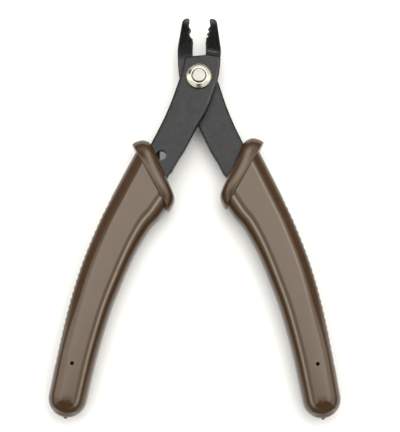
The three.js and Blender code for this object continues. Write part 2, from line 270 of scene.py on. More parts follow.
def lever_outline(jaw):
    """The lever's edge, and the rounding of its rim at each point."""
    heel = (JAW_FACE, jaw.notches[0][1])
    stretches = [
        (curve([*JAW_SIDE, *SHANK_INNER]), EDGE_ROUND),
        (evenly(TANG[:3], STRAIGHT_SPACING), EDGE_ROUND),
        (evenly(TANG[2:], STRAIGHT_SPACING), EDGE_ROUND),
        (curve([TANG[-1], *SHANK_OUTER, *SHOULDER]), EDGE_ROUND),
        (curve([SHOULDER[-1], *SHELF]), SHELF_ROUND),
        (curve(RELIEF, SMALL_SPACING), SHELF_ROUND),
        (evenly([RELIEF[-1], heel], SMALL_SPACING), jaw.face_round),
        *[(notch(*sizes), jaw.face_round) for sizes in jaw.notches],
        (curve(JAW_TIP, TIP_SPACING), TIP_ROUND),
    ]
    points = np.vstack([line[:-1] for line, _ in stretches])
    rounds = np.concatenate([np.full(len(line) - 1, radius) for line, radius in stretches])
    on_jaw = smoothstep(*ROUNDER_OVER_Y, points[:, 1]) * smoothstep(*ROUNDER_OVER_X, points[:, 0])
    return points, rounds + on_jaw * JAW_EXTRA_ROUND


# ---- lever faces ----------------------------------------------------------------------------

# The jaws are this thick on either side of the lap plane, and thin from JAW_BASE_Y to their tips.
JAW_BASE_Y = 9
JAW_HALF_BASE = 1.55
JAW_HALF_TIP = 1.15
STEP_Y = 7.2
STEP_RUN = 2.2
STEP_BACK_RUN = 4.4
# The step's edge is bowed: it starts lower away from this X.
STEP_MIDDLE_X = 3
STEP_BOW = 0.01
# The joggle from the plate to the jaw, as (share of its run, share of its drop). On the front it
# drops at once to a shallow ledge with a small ridge at its end. On the back it is an even slope.
FRONT_STEP = [
    (0, 0), (0.07, 0.22), (0.15, 0.56), (0.25, 0.68), (0.38, 0.73), (0.5, 0.78), (0.6, 0.9),
    (0.7, 0.92), (0.8, 0.83), (0.9, 0.94), (1, 1),
]
BACK_STEP = [(0, 0), (0.25, 0.2), (0.5, 0.5), (0.75, 0.8), (1, 1)]
STEP_SPACING = 0.02
RIDGE_SHARE = 0.81
RIDGE_Y = STEP_Y + RIDGE_SHARE * STEP_RUN

# The faces' points: rings over the rounded rims, at these shares of the rounding, and a square grid
# over the rest, finer from JAW_GRID_Y up. A ring's points stay at least RING_CLEARANCE of its own
# distance from every rim, and the grid's points this many roundings plus this many spacings.
RIM_SHARES = (0.08, 0.29, 0.62, 1.0)
RING_CLEARANCE = 0.93
PLATE_GRID = 0.8
JAW_GRID = 0.22
JAW_GRID_Y = 6.4
GRID_CLEARANCE = (1.05, 0.25)
# The step to one side that tells which side of a rim is metal.
PROBE = 0.01

# How pale the steel is made on its rims, tips and ridge, from 0 to 1, and the bands that this fades over.
# The tips' paleness is wear, the ridge's a painted highlight, and the rims' edge wear with a painted
# highlight.
JAW_RIM_WEAR_AND_SHEEN = 0.85
JAW_TIP_WEAR = 0.8
PLATE_RIM_WEAR_AND_SHEEN = 0.25
RIM_BAND = (0.08, 0.5)
TIP_BAND = (17.2, 19.4)
RIDGE_BAND = (0.1, 0.3)
# On the plate, up to this band of Y, painted shade makes the outer rim as black as the jaws, and a
# thin painted highlight line runs a little in from the rim on the pivot's other side. Which rim is
# outer goes by X less a share of Y, as the plate leans.
PLATE_END = (6.0, STEP_Y)
SHADED_RIM_BAND = (0.2, 0.55)
SHADED_RIM_OVER_X = (-1, -4)
SHADED_RIM_LEAN = 0.3
LINE_HIGHLIGHT = 0.4
LINE_INSET = 0.5
LINE_BAND = (0.1, 0.3)
LINE_OVER_X = (3.5, 4.5)


def step_down(x, y, run, profile):
    """0 on the plate, 1 on the jaw, and the joggle's profile between them."""
    start = STEP_Y - STEP_BOW * (x - STEP_MIDDLE_X) ** 2
    shares, drops = curve(profile, STEP_SPACING).T
    return np.interp((y - start) / run, shares, drops)


def jaw_half(y):
    return np.interp(y, [JAW_BASE_Y, JAW_TIP_Y], [JAW_HALF_BASE, JAW_HALF_TIP])


def into_metal(loop, loops):
    """The direction straight into the metal at each point of a loop."""
    along = np.roll(loop, -1, axis=0) - np.roll(loop, 1, axis=0)
    normal = np.stack([along[:, 1], -along[:, 0]], axis=1)
    normal /= np.linalg.norm(normal, axis=1)[:, None]
    probe = loop + normal * PROBE
    within = inside(probe, loops[0])
    for hole in loops[1:]:
        within &= ~inside(probe, hole)
    normal[~within] *= -1
    return normal


def rim_distance(points, loops, loop_rounds):
    """Each point's distance from the nearest loop, and the rounding there."""
    gaps, radii = zip(*[nearest(points, loop, radius) for loop, radius in zip(loops, loop_rounds)])
    closest = np.argmin(gaps, axis=0)
    return np.choose(closest, gaps), np.choose(closest, radii)


def rim_rings(loops, loop_rounds):
    """Points over the rounded rims, in rings set in from each loop."""
    rings = []
    for loop, radius in zip(loops, loop_rounds):
        normal = into_metal(loop, loops)
        for share in RIM_SHARES:
            ring = loop + normal * (radius * share)[:, None]
            gap = rim_distance(ring, loops, loop_rounds)[0]
            rings.append(ring[gap > RING_CLEARANCE * radius * share])
    return rings


def face_grids(loops, loop_rounds):
    """Points over the flat of the plate and of the jaw, clear of the rounded rims."""
    low, high = loops[0].min(axis=0), loops[0].max(axis=0)
    roundings, spacings = GRID_CLEARANCE
    grids = []
    for spacing, from_y, to_y in ((PLATE_GRID, low[1], JAW_GRID_Y), (JAW_GRID, JAW_GRID_Y, high[1])):
        xs, ys = np.meshgrid(np.arange(low[0], high[0], spacing), np.arange(from_y, to_y, spacing))
        grid = np.stack([xs.ravel(), ys.ravel()], axis=1)
        grid = grid[inside(grid, loops[0])]
        for loop, radius in zip(loops, loop_rounds):
            gap, rounding = nearest(grid, loop, radius)
            grid = grid[gap > rounding * roundings + spacing * spacings]
        grids.append(grid)
    return grids


def open_edges(triangles):
    """The edges that belong to one triangle only."""
    edges = [(a, b) for f in triangles for a, b in zip(f, f[1:] + f[:1])]
    known = set(edges)
    return [(a, b) for a, b in edges if (b, a) not in known]


def steel_marks(x, y, gap, jaw):
    """How black the steel is at each point, with painted shade on the plate's outer rim, and how pale
    from wear and painted highlights, by its place and distance from the rim.
    """
    black = smoothstep(*jaw.black_over, y)
    at_rim = near(gap, 0, *RIM_BAND)
    # Rims: edge wear with a painted highlight, on the jaws and fainter on the plate. Tips: wear.
    on_jaw = black * (JAW_RIM_WEAR_AND_SHEEN * at_rim + JAW_TIP_WEAR * smoothstep(*TIP_BAND, y))
    wear = on_jaw + PLATE_RIM_WEAR_AND_SHEEN * (1 - black) * at_rim
    # Painted highlight along the step's ridge.
    wear += jaw.ridge_wear * near(y, RIDGE_Y, *RIDGE_BAND)
    on_plate = 1 - smoothstep(*PLATE_END, y)
    # Painted highlight: a thin pale line a little in from the rim on the pivot's other side.
    wear += LINE_HIGHLIGHT * on_plate * smoothstep(*LINE_OVER_X, x) * near(gap, LINE_INSET, *LINE_BAND)
    # Painted shade: the plate's outer rim is made as black as the jaws.
    outer = smoothstep(*SHADED_RIM_OVER_X, x - SHADED_RIM_LEAN * y)
    painted_shade = on_plate * near(gap, 0, *SHADED_RIM_BAND) * outer
    return np.maximum(black, painted_shade), np.clip(wear, 0, 1)


def lever(half, jaw, holes, material):
    """Both faces of a stamping over its outline, with rolled-over edges and a wall between."""
    outline, rounds = lever_outline(jaw)
    loops = [outline, *holes]
    loop_rounds = [rounds, *[np.full(len(hole), HOLE_ROUND) for hole in holes]]
    cloud = [*loops, *rim_rings(loops, loop_rounds), *face_grids(loops, loop_rounds)]
    starts = np.cumsum([0] + [len(loop) for loop in loops])
    indices = [list(range(a, b)) for a, b in zip(starts, starts[1:])]
    plan, triangles = triangulated(np.vstack(cloud), indices)
    x, y = plan.T
    gap, radius = rim_distance(plan, loops, loop_rounds)
    inset = np.clip(1 - gap / radius, 0, 1)
    roll = radius * (1 - np.sqrt(1 - inset**2))
    front = PLATE_TOP + (jaw_half(y) - PLATE_TOP) * step_down(x, y, STEP_RUN, FRONT_STEP) - roll
    back = LAP_Z + (-jaw_half(y) - LAP_Z) * step_down(x, y, STEP_BACK_RUN, BACK_STEP) + roll
    points = np.vstack([np.c_[plan, front], np.c_[plan, back]])
    count = len(plan)
    faces = [*triangles, *[[i + count for i in reversed(f)] for f in triangles]]
    faces += [[b, a, a + count, b + count] for a, b in open_edges(triangles)]
    black, wear = steel_marks(x, y, gap, jaw)
    marks = {"jaw": np.tile(black, 2), "wear": np.tile(wear, 2)}
    make_mesh(
        f"{half}_lever_looks", points, faces, half, material, f"{half}_half",
        [f"{half}_lever"], marks,
    )


HOOK_HOLE = (-7.04, -26.33, 1.55)
HOOK_HOLE_POINTS = 48
# The dark plug in the hook hole: how far its straight side is from the hole's middle, and how far it
# lies in from the plate's lap face and from its outer face.
PLUG_FROM = 0.52
PLUG_DEPTHS = (0.1, 1.5)
PLUG_POINTS = 24


def hook_hole_dark_plug(steel):
    """A black plug filling the outer side of the hook hole, a segment of its circle."""
    x, y, radius = HOOK_HOLE
    reach = math.acos(PLUG_FROM / radius)
    middle = math.pi + HALF_OPEN
    angles = np.linspace(middle - reach, middle + reach, PLUG_POINTS)
    plan = np.stack([x + radius * np.cos(angles), y + radius * np.sin(angles)], axis=1)
    count = len(plan)
    levels = (LAP_Z + PLUG_DEPTHS[0], PLATE_TOP - PLUG_DEPTHS[1])
    points = np.vstack([np.c_[plan, np.full(count, z)] for z in levels])
    faces = [list(range(count)), list(range(count, 2 * count)), *lattice(2, count, closed_columns=True)]
    marks = {"jaw": np.ones(2 * count), "wear": np.zeros(2 * count)}
    make_mesh(
        "hook_hole_dark_plug", points, faces, "front", steel, "front_half",
        ["front_lever"], marks,
    )


def build_levers(steel):
    lever("front", TOOTHED_JAW, [circle(*HOOK_HOLE, HOOK_HOLE_POINTS)], steel)
    hook_hole_dark_plug(steel)
    lever("rear", PLAIN_JAW, [], steel)


# ---- pivot ----------------------------------------------------------------------------------

LATHE_SIDES = 96
LATHE_SPACING = 0.07
# The washer's hole, hidden under the pin's head, and the dip round the head.
WASHER_HOLE_R = HEAD_R - 0.3
WASHER_HOLE_TOP = WASHER_TOP - 0.3
DIP_Z = WASHER_TOP - 0.22
# The pin pieces' profiles stop this far from the axis, and their necks end inside each other.
AXIS_R = 0.02
NECK_R = WASHER_HOLE_R - 0.1
NECK_END = 2 - HEAD_TOP

WASHER_DOME = [
    (WASHER_R - 0.1, WASHER_BASE),
    (WASHER_R, WASHER_BASE + 0.16),
    (WASHER_R - 0.02, WASHER_BASE + 0.42),
    (WASHER_R - 0.14, WASHER_BASE + 0.66),
    (WASHER_R - 0.45, WASHER_BASE + 0.88),
    (WASHER_R - 0.95, WASHER_TOP - 0.24),
    (WASHER_R - 1.35, WASHER_TOP - 0.08),
    (HEAD_R + 0.16, WASHER_TOP - 0.06),
    (HEAD_R - 0.1, DIP_Z),
]
PIN_BOSS = [
    (HEAD_R - 0.08, DIP_Z),
    (HEAD_R, WASHER_TOP + 0.14),
    (HEAD_R - 0.12, HEAD_TOP - 0.22),
    (HEAD_R - 0.5, HEAD_TOP - 0.06),
    (0.5, HEAD_TOP),
    (AXIS_R, HEAD_TOP),
]


def lathe(name, profile, half, material, node):
    """A closed (radius, z) profile turned about the pivot axis. It rides on the front half."""
    angles = np.linspace(0, 2 * math.pi, LATHE_SIDES, endpoint=False)
    points = [(r * math.cos(a), r * math.sin(a), z) for r, z in profile for a in angles]
    faces = lattice(len(profile), LATHE_SIDES, closed_rows=True, closed_columns=True)
    make_mesh(name, points, faces, half, material, "front_half", [node])


def build_pivot(washer_nickel, pin_nickel):
    dome = curve(WASHER_DOME, LATHE_SPACING)
    washer = [(WASHER_HOLE_R, WASHER_BASE), *dome, (WASHER_HOLE_R, WASHER_HOLE_TOP)]
    neck = [(AXIS_R, NECK_END), (NECK_R, NECK_END), (NECK_R, WASHER_HOLE_TOP)]
    pin = [*neck, *curve(PIN_BOSS, LATHE_SPACING)]
    for half in ("front", "rear"):
        node = f"{half}_dome_washer"
        lathe(f"{node}_looks", washer, half, washer_nickel, node)
        lathe(f"{half}_pin_head_looks", pin, half, pin_nickel, "pivot_pin")


# ---- grips ----------------------------------------------------------------------------------

# The grip's edge is a half circle below this Y.
NOSE_Y = -103.8
NOSE_R = 5.73
NOSE_STEPS = 62
OUTER_EDGE = [
    (-15.1, -26.2),
    (-17.6, -34.0),
    (-20.1, -42.0),
    (-22.4, -50.0),
    (-25.1, -63.0),
    (-26.6, -76.0),
    (-27.2, -90.0),
    (-27.4, NOSE_Y),
]
INNER_EDGE = [
    (-15.95, NOSE_Y),
    (-15.25, -90.0),
    (-13.85, -77.0),
    (-12.15, -68.0),
    (-9.75, -58.0),
    (-6.9, -50.0),
    (-4.55, -46.0),
    (-2.85, -42.6),
    (-1.25, -39.3),
]
# The outer edge's points are closer together, for its ribs.
OUTER_SPACING = 0.22
INNER_SPACING = 0.4

# Ribs across the outer edge. They fade in at these distances from its start, fade out at these
# distances before its end, and end between these heights. A power under 1 makes the grooves wider.
RIB_PITCH = 2.0
RIB_DEPTH = 0.25
RIB_POWER = 0.7
RIBS_FADE_IN = (15, 19)
RIBS_FADE_OUT = (9.2, 8.6)
RIB_TOP = (1.8, 2.8)

# The blind sight hole: its middle and radius, and the heights of its floor's rim and of its point.
SIGHT_HOLE = (-21.85, -93.5, 0.6)
SIGHT_HOLE_POINTS = 28
SIGHT_HOLE_FLOOR = 1.5
SIGHT_HOLE_POINT = 0.3

# Half sections from the edge in to the flat panel, as (distance from the edge, height).
OUTER_SECTION = [
    (0, 0), (0.06, 0.9), (0.2, 1.7), (0.45, 2.45), (0.8, 3.05), (1.15, 3.45), (1.5, 3.75), (2.0, 4.15),
    (2.5, 4.55), (2.9, 4.85), (3.3, 5.1), (3.7, 5.28), (4.0, 5.37), (4.3, 5.4), (4.65, 5.4),
]
END_SECTION = [
    (0, 0), (0.06, 1.1), (0.25, 2.2), (0.6, 3.2), (1.05, 4.0), (1.45, 4.46), (1.9, 4.84),
    (2.4, 5.1), (3.0, 5.28), (3.6, 5.37), (4.25, 5.4),
]
INNER_SECTION = [
    (0, 0), (0.04, 1.2), (0.16, 2.1), (0.4, 2.9), (0.75, 3.5), (1.15, 4.0), (1.55, 4.38), (1.9, 4.66),
    (2.2, 4.82), (2.5, 4.88), (2.8, 4.87), (3.15, 4.98), (3.5, 5.16), (3.9, 5.32), (4.3, 5.4),
]
NOSE_SECTION = [
    (0, 0), (0.06, 0.7), (0.25, 1.25), (0.55, 1.7), (0.9, 2.12), (1.25, 2.58), (1.55, 3.15),
    (1.85, 3.8), (2.2, 4.4), (2.8, 4.95), (3.8, 5.28), (5.0, 5.4),
]
SECTION_KINDS = (OUTER_SECTION, END_SECTION, INNER_SECTION, NOSE_SECTION)
SECTION_SPACING = 0.05
SECTION_POINTS = 34
# Going down, the outer section turns into the end one over these Y. Round the nose, the nose section
# takes over by how nearly the edge faces straight down.
END_OVER_Y = (-72, -92)
NOSE_OVER = (0.7, 1.0)
# The inner section is a little wider at the guard and narrower at the nose, by the grip's Y.
INNER_STRETCH = ([NOSE_Y, -84.0, -60.0, -37.0], [0.87, 0.9, 0.955, 1.2])
# Painted highlight lines, paler than the rest, by distance from the edge: the bead's crest, and the
# panel's outer edge, which fades out going down.
BEAD_AT = 2.6
BEAD_BAND = (0.15, 0.55)
PANEL_EDGE_AT = 4.12
PANEL_EDGE_BAND = (0.15, 0.45)
PANEL_EDGE_OVER_Y = (-85.0, -60.0)
# The nose's sloping end: the top of its arched upper edge, the arch, how steeply it falls, the least
# height that it falls to, and the height over which it blends into the rest.
FACET_TOP = (-21.2, -104.7)
FACET_ARCH = 0.09
FACET_FALL = 0.78
FACET_LEAST = 0.4
FACET_BLEND = 0.12


def section(points):
    """The same number of points on each half section, so that one can turn into another."""
    line = curve(points, SECTION_SPACING)
    line[:, 1] *= PANEL_Z / line[-1, 1]
    return read_off(np.linspace(0, 1, SECTION_POINTS), np.linspace(0, 1, len(line)), line)


def grip_rail():
    """The grip's edge from the guard round the nose and back, with its section weights."""
    outer = curve(OUTER_EDGE, OUTER_SPACING)
    inner = curve(INNER_EDGE, INNER_SPACING)
    angles = np.linspace(math.pi, 2 * math.pi, NOSE_STEPS)[1:-1]
    centre = (outer[-1] + inner[0]) / 2
    nose = centre + NOSE_R * np.stack([np.cos(angles), np.sin(angles)], axis=1)
    rail = np.vstack([outer, nose, inner])
    near_end = smoothstep(*END_OVER_Y, outer[:, 1])
    on_facet = np.interp(-np.sin(angles), NOSE_OVER, [0, 1])
    turned = (angles - math.pi) / math.pi
    round_nose = [(1 - on_facet) * (1 - turned), (1 - on_facet) * turned, on_facet]
    nose_start, nose_end = len(outer), len(outer) + len(nose)
    weights = np.zeros((len(rail), len(SECTION_KINDS)))
    weights[:nose_start, 0] = 1 - near_end
    weights[:nose_start, 1] = near_end
    weights[nose_start:nose_end, 1:] = np.stack(round_nose, axis=1)
    weights[nose_end:, 2] = 1
    return rail, weights, nose_start


def rib_cut(rail, outer_count):
    """How deep the ribs' grooves go at each point of the grip's edge."""
    travelled = travel(rail)
    wave = 0.5 - 0.5 * np.cos(2 * math.pi * travelled / RIB_PITCH)
    length = travelled[outer_count - 1]
    fade_from, fade_to = RIBS_FADE_OUT
    faded_out = smoothstep(length - fade_from, length - fade_to, travelled)
    there = smoothstep(*RIBS_FADE_IN, travelled) * (1 - faded_out)
    return RIB_DEPTH * wave**RIB_POWER * there


def soft_least(first, second, blend):
    """The lesser of two heights, with a rounded change from one to the other."""
    mix = np.clip(0.5 + (second - first) / (2 * blend), 0, 1)
    return second + (first - second) * mix - blend * mix * (1 - mix)


def cut_nose(plan, heights):
    """The heights, cut down to the nose's sloping end."""
    facet_start = FACET_TOP[1] - FACET_ARCH * (plan[..., 0] - FACET_TOP[0]) ** 2
    facet = PANEL_Z - FACET_FALL * (facet_start - plan[..., 1])
    return soft_least(heights, np.maximum(facet, FACET_LEAST), FACET_BLEND)


def painted_highlight_lines(rail, weights, sets, edge_rub):
    """How strongly a highlight is painted on the upper side at each point of its sections."""
    crest = weights[:, 2:3] * near(sets, BEAD_AT, *BEAD_BAND)
    fade = smoothstep(*PANEL_EDGE_OVER_Y, rail[:, 1]) * weights[:, 0]
    return crest + edge_rub * fade[:, None] * near(sets, PANEL_EDGE_AT, *PANEL_EDGE_BAND)


def grip_piece(name, grip, points, faces, material, marks=None):
    """A piece of a grip, moved to where the grip sits on its tang."""
    seat = np.array([math.sin(LEVER_LEAN), math.cos(LEVER_LEAN)]) * grip.seat
    points = np.asarray(points) + (*seat, 0)
    make_mesh(
        name, points, faces, grip.half, material, f"{grip.half}_half",
        [f"{grip.side}_grip"], marks,
    )


def add_panels(points, faces, panel, width):
    """Fills the flat panels on both faces, each with its blind sight hole."""
    hole = circle(*SIGHT_HOLE, SIGHT_HOLE_POINTS)
    rows, count = len(panel), len(hole)
    loops = [list(range(rows)), list(range(rows, rows + count))]
    triangles = triangulated(np.vstack([panel, hole]), loops)[1]
    for level, edge in ((1, width - 1), (-1, 0)):
        rim = len(points)
        base = rim + count
        top = np.c_[hole, np.full(count, level * PANEL_Z)]
        bottom = np.c_[hole, np.full(count, level * SIGHT_HOLE_FLOOR)]
        point = (*SIGHT_HOLE[:2], level * SIGHT_HOLE_POINT)
        points = np.vstack([points, top, bottom, point])
        index = [i * width + edge for i in range(rows)] + [rim + i for i in range(count)]
        faces += [[index[i] for i in f][::-level] for f in triangles]
        for i in range(count):
            j = (i + 1) % count
            faces.append([rim + i, rim + j, base + j, base + i][::level])
            faces.append([base + i, base + j, base + count][::level])
    return points, faces


def grip_body(grip, material):
    """The moulding: half sections along its edge, mirrored below, and the panels they frame."""
    rail, weights, outer_count = grip_rail()
    shapes = np.einsum("is,skc->ikc", weights, np.stack([section(kind) for kind in SECTION_KINDS]))
    sets, heights = shapes[..., 0].copy(), shapes[..., 1]
    # Painted highlight lines on the bead's crest and the panel's outer edge.
    painted_highlight = painted_highlight_lines(rail, weights, sets, grip.edge_rub)
    stretch = 1 + weights[:, 2] * (np.interp(rail[:, 1], *INNER_STRETCH) - 1)
    sets *= stretch[:, None]
    sets += rib_cut(rail, outer_count)[:, None] * (1 - smoothstep(*RIB_TOP, heights))
    along = np.gradient(rail, axis=0)
    along /= np.linalg.norm(along, axis=1)[:, None]
    inward = np.stack([-along[:, 1], along[:, 0]], axis=1)
    plan = rail[:, None] + inward[:, None] * sets[..., None]
    upper = np.concatenate([plan, cut_nose(plan, heights)[..., None]], axis=2)
    lower = upper[:, 1:] * (1, 1, -1)
    lines = np.concatenate([lower[:, ::-1], upper], axis=1)
    rows, width = lines.shape[:2]
    points, faces = add_panels(lines.reshape(-1, 3), lattice(rows, width), upper[:, -1, :2], width)
    last = (rows - 1) * width
    faces.append([*range(width), *reversed(range(last, last + width))])
    both_sides = np.concatenate([painted_highlight[:, :0:-1], painted_highlight], axis=1).ravel()
    marks = {"painted_highlight": np.r_[both_sides, np.zeros(len(points) - len(both_sides))]}
    grip_piece(f"{grip.side}_grip_looks", grip, points, faces, material, marks)


# ---- guards ---------------------------------------------------------------------------------

GUARD_CENTRE = np.array([-9.0, -33.6])
GUARD_UP = np.array([0.7875, 0.617])
# How far the guard reaches outward from its centre, at its thickest level.
GUARD_REACH = 12.25
# Levels of the guard: height over its rim line, reach of its outer and inner ends, half thickness.
GUARD_LEVELS = [
    (-0.3, 8.6, 8.0, 0.8),
    (-0.3, 11.7, 11.0, 0.91),
    (-0.15, 12.15, 11.6, 0.945),
    (0.2, 12.25, 11.7, 0.965),
    (0.7, 12.3, 11.5, 0.983),
    (1.4, GUARD_REACH, 11.2, 1.0),
    (2.1, 12.1, 10.8, 0.995),
    (2.8, 11.9, 10.4, 0.97),
    (3.4, 11.5, 9.9, 0.92),
    (3.95, 10.9, 9.3, 0.84),
    (4.35, 10.2, 8.4, 0.7),
    (4.6, 9.0, 7.0, 0.5),
    (4.68, 7.0, 5.0, 0.3),
]
LEVEL_SPACING = 0.22
GUARD_SIDES = 112
# Points on the oval for each side, before they are evenly spaced.
OVAL_DETAIL = 40
# The guard's top slopes, and its crown is highest near its outer end: the share added there, where,
# and how wide.
GUARD_TOP_SLOPE = 0.011
GUARD_CROWN = 0.1
GUARD_CROWN_AT = -7.6
GUARD_CROWN_WIDTH = 3.2
# 1 for an ellipse, less for a squarer oval: along the guard, and across it at its two ends.
GUARD_ALONG = 0.85
GUARD_ACROSS = (0.85, 0.55)


def guard_ring():
    """A squarish oval of unit half width and half height, as evenly spaced points."""
    angles = np.linspace(0, 2 * math.pi, OVAL_DETAIL * GUARD_SIDES, endpoint=False)
    round_oval = np.stack([np.cos(angles), np.sin(angles)], axis=1)
    across = np.where(round_oval[:, 0] < 0, *GUARD_ACROSS)
    power = np.stack([np.full(len(angles), GUARD_ALONG), across], axis=1)
    oval = np.sign(round_oval) * np.abs(round_oval) ** power
    size = (GUARD_REACH, GUARD_HALF_T)
    closed = np.vstack([oval, oval[:1]]) * size
    travelled = travel(closed)
    at = np.linspace(0, travelled[-1], GUARD_SIDES, endpoint=False)
    return (read_off(at, travelled, closed) / size).T


def guard(grip, material):
    """The slanted thumb guard, skinned over rings that close at the top and the bottom."""
    along = np.array([GUARD_UP[1], -GUARD_UP[0]])
    centre = GUARD_CENTRE - along * grip.guard_outward
    cosine, sine = guard_ring()
    rings = []
    for height, outer, inner, thick in curve(GUARD_LEVELS, LEVEL_SPACING):
        reach = np.where(cosine < 0, outer, inner) * cosine
        crown = GUARD_CROWN * np.exp(-(((reach - GUARD_CROWN_AT) / GUARD_CROWN_WIDTH) ** 2))
        rise = height + max(height, 0) * (crown - GUARD_TOP_SLOPE * (reach - GUARD_CROWN_AT))
        plan = centre + GUARD_UP * rise[:, None] + reach[:, None] * along
        rings.append(np.c_[plan, GUARD_HALF_T * thick * sine])
    faces = lattice(len(rings), GUARD_SIDES, closed_columns=True)
    for first in (0, (len(rings) - 1) * GUARD_SIDES):
        faces.append(list(range(first, first + GUARD_SIDES)))
    grip_piece(f"{grip.side}_guard_looks", grip, np.vstack(rings), faces, material)


# ---- gate marks -----------------------------------------------------------------------------

# The nub's middle, sunk a little into the grip's end, and its half sizes.
GATE_MARK_SUNK = 0.05
GATE_MARK = (-21.3, NOSE_Y - NOSE_R + GATE_MARK_SUNK, 0.0)
GATE_MARK_SIZE = (0.6, 0.5, 0.5)
GATE_MARK_SIDES = 24
GATE_MARK_RINGS = 11


def gate_mark(grip, material):
    """The small nub of plastic left on the grip's end by the mould."""
    sides, rings = GATE_MARK_SIDES, GATE_MARK_RINGS
    points = [(0, -1, 0)]
    for k in range(rings):
        polar = math.pi * (k + 1) / (rings + 1)
        ring = math.sin(polar)
        for i in range(sides):
            turn = 2 * math.pi * i / sides
            points.append((ring * math.cos(turn), -math.cos(polar), ring * math.sin(turn)))
    points.append((0, 1, 0))
    faces = [[k + 1 for k in face] for face in lattice(rings, sides, closed_columns=True)]
    last = len(points) - 1
    for i in range(sides):
        j = (i + 1) % sides
        faces.append([0, 1 + j, 1 + i])
        faces.append([last, last - sides + i, last - sides + j])
    points = np.array(points) * GATE_MARK_SIZE + GATE_MARK
    grip_piece(f"{grip.side}_gate_mark", grip, points, faces, material)


def build_grips(plastic, gate_plastic):
    for grip in GRIPS:
        grip_body(grip, plastic)
        guard(grip, plastic)
        gate_mark(grip, gate_plastic)


# ---- materials ------------------------------------------------------------------------------

WASHER_TINT = (0.52, 0.505, 0.4)
PIN_TINT = (0.25, 0.242, 0.225)
# The plating's duller patches, as a share of its tint.
DULL_SHARE = 0.92
GRIP_BROWNS = ((0.043, 0.0195, 0.0065), (0.049, 0.0235, 0.0085))
GATE_BROWNS = ((0.13, 0.06, 0.024), (0.15, 0.07, 0.028))
# Browns of the highlights painted on the grips' bead crests and panel edges.
HIGHLIGHT_BROWNS = ((0.088, 0.063, 0.036), (0.108, 0.08, 0.048))
SHINE_TINT = (1.0, 0.96, 0.88, 1)


def new_material(name):
    material = bpy.data.materials.new(name)
    material.use_nodes = True
    return material, material.node_tree, material.node_tree.nodes["Principled BSDF"]


def noise(tree, scale, detail=4.0):
    """Noise in the object's own space, scale in waves per metre."""
    place = tree.nodes.new("ShaderNodeTexCoord")
    texture = tree.nodes.new("ShaderNodeTexNoise")
    texture.inputs["Scale"].default_value = scale
    texture.inputs["Detail"].default_value = detail
    texture.inputs["Roughness"].default_value = 0.55
    tree.links.new(place.outputs["Object"], texture.inputs["Vector"])
    return texture.outputs["Fac"]


def ramp(tree, value, stops):
    """Colours or greys along a value between 0 and 1."""
    node = tree.nodes.new("ShaderNodeValToRGB")
    elements = node.color_ramp.elements
    while len(elements) < len(stops):
        elements.new(0.5)
    for element, (position, colour) in zip(elements, stops):
        element.position = position
        element.color = (*colour, 1) if isinstance(colour, tuple) else (colour, colour, colour, 1)
    tree.links.new(value, node.inputs["Fac"])
    return node.outputs["Color"]


def bump(tree, shader, height, strength, distance):
    node = tree.nodes.new("ShaderNodeBump")
    node.inputs["Strength"].default_value = strength
    node.inputs["Distance"].default_value = distance
    tree.links.new(height, node.inputs["Height"])
    tree.links.new(node.outputs["Normal"], shader.inputs["Normal"])


def mixed(tree, factor, first, second):
    node = tree.nodes.new("ShaderNodeMix")
    node.data_type = "RGBA"
    tree.links.new(factor, node.inputs["Factor"])
    tree.links.new(first, node.inputs["A"])
    tree.links.new(second, node.inputs["B"])
    return node.outputs["Result"]


def mark(tree, name):
    """A number that the mesh holds for each of its points."""
    node = tree.nodes.new("ShaderNodeAttribute")
    node.attribute_name = name
    return node.outputs["Fac"]


def blackened_steel():
    """Satin black oxide, rougher and blacker on the jaws, worn a little along edges and tips, with
    painted highlights on rims and the step's ridge and painted shade on the plate's outer rim.
    """
    material, tree, shader = new_material("blackened_steel")
    shader.inputs["Metallic"].default_value = 1.0
    plate = ramp(tree, noise(tree, 900), [(0.3, (0.027, 0.027, 0.028)), (0.75, (0.033, 0.033, 0.034))])
    jaw = ramp(tree, noise(tree, 1500), [(0.3, (0.003, 0.003, 0.003)), (0.7, (0.012, 0.012, 0.012))])
    # Pale steel, for wear and for painted highlights.
    worn_and_lit = ramp(tree, noise(tree, 1900), [(0.35, (0.022, 0.022, 0.022)), (0.7, (0.12, 0.116, 0.11))])
    # The jaw mark also holds the painted shade on the plate's outer rim.
    colour_with_painted_light = mixed(tree, mark(tree, "jaw"), plate, jaw)
    colour_with_painted_light = mixed(tree, mark(tree, "wear"), colour_with_painted_light, worn_and_lit)
    tree.links.new(colour_with_painted_light, shader.inputs["Base Color"])
    smooth = ramp(tree, noise(tree, 400), [(0.3, 0.38), (0.7, 0.44)])
    rough = ramp(tree, noise(tree, 1800), [(0.3, 0.42), (0.7, 0.58)])
    tree.links.new(mixed(tree, mark(tree, "jaw"), smooth, rough), shader.inputs["Roughness"])
    bump(tree, shader, noise(tree, 5200, 3.0), 0.3, 0.00004)
    return material


def nickel(name, tint):
    """Bright plating, a little duller in patches."""
    material, tree, shader = new_material(name)
    shader.inputs["Metallic"].default_value = 1.0
    dull = tuple(c * DULL_SHARE for c in tint)
    tree.links.new(ramp(tree, noise(tree, 700), [(0.3, dull), (0.7, tint)]), shader.inputs["Base Color"])
    tree.links.new(ramp(tree, noise(tree, 1500), [(0.3, 0.14), (0.7, 0.24)]), shader.inputs["Roughness"])
    bump(tree, shader, noise(tree, 2600, 2.0), 0.05, 0.00002)
    return material


